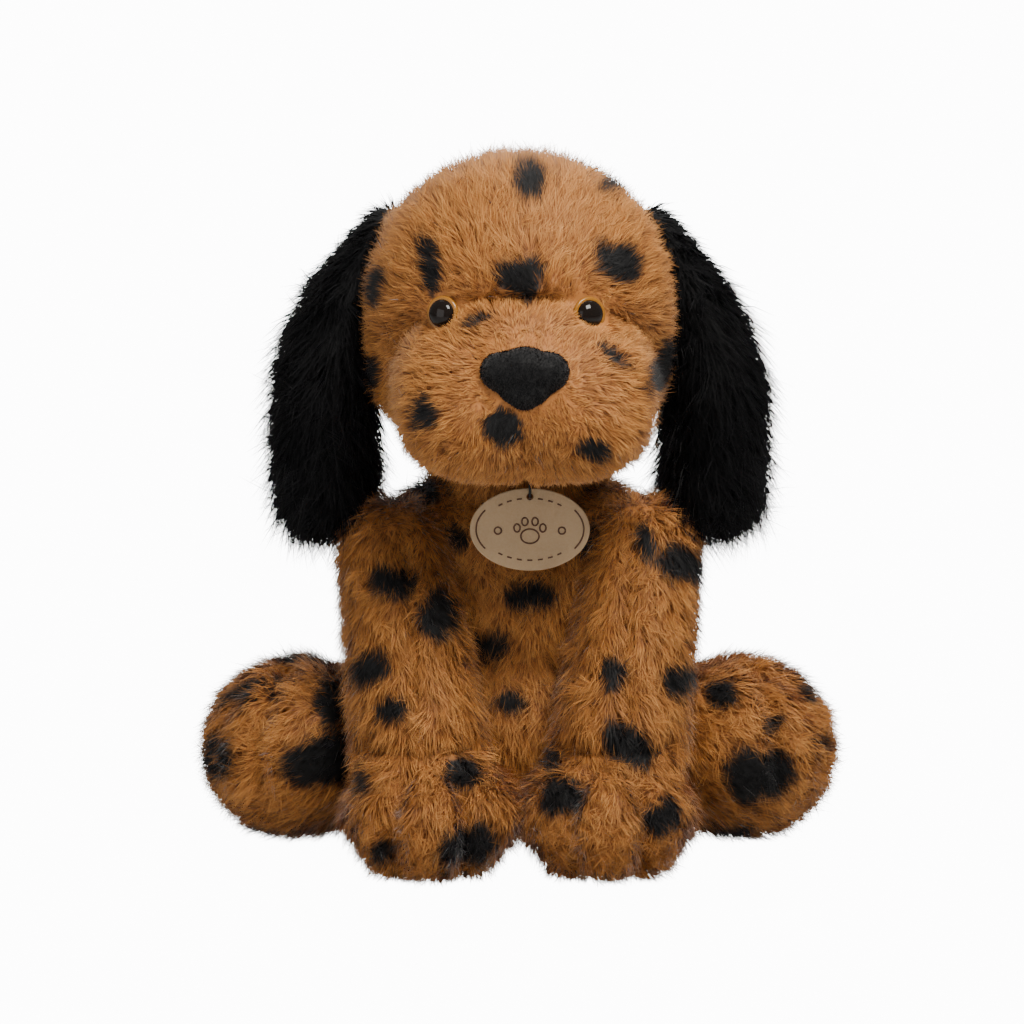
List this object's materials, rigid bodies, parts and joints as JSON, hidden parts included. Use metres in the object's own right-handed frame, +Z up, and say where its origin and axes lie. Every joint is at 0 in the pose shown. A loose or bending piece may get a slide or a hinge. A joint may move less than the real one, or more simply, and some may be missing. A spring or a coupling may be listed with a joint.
{
  "type": "plush dog",
  "caption": "Seated spotted plush dog with long hanging ears, an oval chest tag, soft jointed head, legs and tail.",
  "frame": {"origin": "on the floor under the middle of the toy's box", "axes": "+Z up, the dog faces -Y, +X is the dog's left"},
  "size_m": [0.232, 0.176, 0.26],
  "materials": {
    "tan_pile": "deep pile, caramel with black spots",
    "black_pile": "long black pile",
    "velvet": "short black velvet",
    "filling": "white polyester fibre",
    "bag_cloth": "plain woven cotton",
    "pellets": "small moulded pellets",
    "eye_black": "polished black dome",
    "eye_amber": "polished amber disc",
    "washer_white": "moulded lock washer",
    "tag_leather": "engraved beige leatherette",
    "tag_felt": "felt backing",
    "thread_black": "waxed sewing thread",
    "thread_brown": "sewing thread"
  },
  "bodies": {
    "torso": {"torso_stuffing": "filling", "belly_panel": "tan_pile", "back_left_panel": "tan_pile", "back_right_panel": "tan_pile", "seat_bag": "bag_cloth", "seat_pellets": "pellets", "tag_thread": "thread_black"},
    "neck": {"neck_cover": "tan_pile", "neck_stuffing": "filling"},
    "head": {"head_stuffing": "filling", "muzzle_stuffing": "filling", "forehead_gusset": "tan_pile", "head_left_panel": "tan_pile", "head_right_panel": "tan_pile", "muzzle_cover": "tan_pile", "chin_panel": "tan_pile", "nose_cover": "velvet", "nose_stuffing": "filling", "left_eye_iris": "eye_amber", "left_eye_dome": "eye_black", "left_eye_stem": "eye_black", "left_eye_washer": "washer_white", "right_eye_iris": "eye_amber", "right_eye_dome": "eye_black", "right_eye_stem": "eye_black", "right_eye_washer": "washer_white"},
    "tail": {"tail_cover": "tan_pile", "tail_stuffing": "filling"},
    "tag": {"tag_face": "tag_leather", "tag_backing": "tag_felt"},
    "left_ear": {"left_ear_outer": "black_pile", "left_ear_lining": "black_pile", "left_ear_root": "black_pile"},
    "left_foreleg": {"left_foreleg_sleeve": "tan_pile", "left_fore_paw_cover": "tan_pile", "left_foreleg_stuffing": "filling", "left_fore_toe_threads": "thread_brown"},
    "left_hindleg": {"left_thigh_cover": "tan_pile", "left_hind_paw_cover": "tan_pile", "left_hindleg_stuffing": "filling", "left_hind_toe_threads": "thread_brown"},
    "right_ear": {"right_ear_outer": "black_pile", "right_ear_lining": "black_pile", "right_ear_root": "black_pile"},
    "right_foreleg": {"right_foreleg_sleeve": "tan_pile", "right_fore_paw_cover": "tan_pile", "right_foreleg_stuffing": "filling", "right_fore_toe_threads": "thread_brown"},
    "right_hindleg": {"right_thigh_cover": "tan_pile", "right_hind_paw_cover": "tan_pile", "right_hindleg_stuffing": "filling", "right_hind_toe_threads": "thread_brown"}
  },
  "joints": [
    {"name": "head_turn", "type": "hinge", "parent": "torso", "child": "neck", "pos_m": [0, 0.012, 0.14], "axis": [0, 0, 1], "range_deg": [-20, 20], "stiffness_Nm_per_rad": 0.15},
    {"name": "head_nod", "type": "hinge", "parent": "neck", "child": "head", "pos_m": [0, 0.012, 0.14], "axis": [-1, 0, 0], "range_deg": [-5, 20], "stiffness_Nm_per_rad": 1.2},
    {"name": "tail_wag", "type": "hinge", "parent": "torso", "child": "tail", "pos_m": [0, 0.058, 0.038], "axis": [0, 0, 1], "range_deg": [-20, 20], "stiffness_Nm_per_rad": 0.02},
    {"name": "tag_lift", "type": "hinge", "parent": "torso", "child": "tag", "pos_m": [0.004, -0.0351, 0.1414], "axis": [-1, 0, 0], "range_deg": [0, 60]},
    {"name": "left_ear_lift", "type": "hinge", "parent": "head", "child": "left_ear", "pos_m": [0.051, 0.006, 0.237], "axis": [0, -1, 0], "range_deg": [0, 100]},
    {"name": "left_foreleg_swing", "type": "hinge", "parent": "torso", "child": "left_foreleg", "pos_m": [0.046, -0.016, 0.11], "axis": [-1, 0, 0], "range_deg": [0, 45]},
    {"name": "left_hindleg_swing", "type": "hinge", "parent": "torso", "child": "left_hindleg", "pos_m": [0.046, 0.02, 0.034], "axis": [0, 0, -1], "range_deg": [-12, 2], "stiffness_Nm_per_rad": 0.1},
    {"name": "right_ear_lift", "type": "hinge", "parent": "head", "child": "right_ear", "pos_m": [-0.051, 0.006, 0.237], "axis": [0, 1, 0], "range_deg": [0, 100]},
    {"name": "right_foreleg_swing", "type": "hinge", "parent": "torso", "child": "right_foreleg", "pos_m": [-0.046, -0.016, 0.11], "axis": [-1, 0, 0], "range_deg": [0, 45]},
    {"name": "right_hindleg_swing", "type": "hinge", "parent": "torso", "child": "right_hindleg", "pos_m": [-0.046, 0.02, 0.034], "axis": [0, 0, 1], "range_deg": [-12, 2], "stiffness_Nm_per_rad": 0.1}
  ]
}
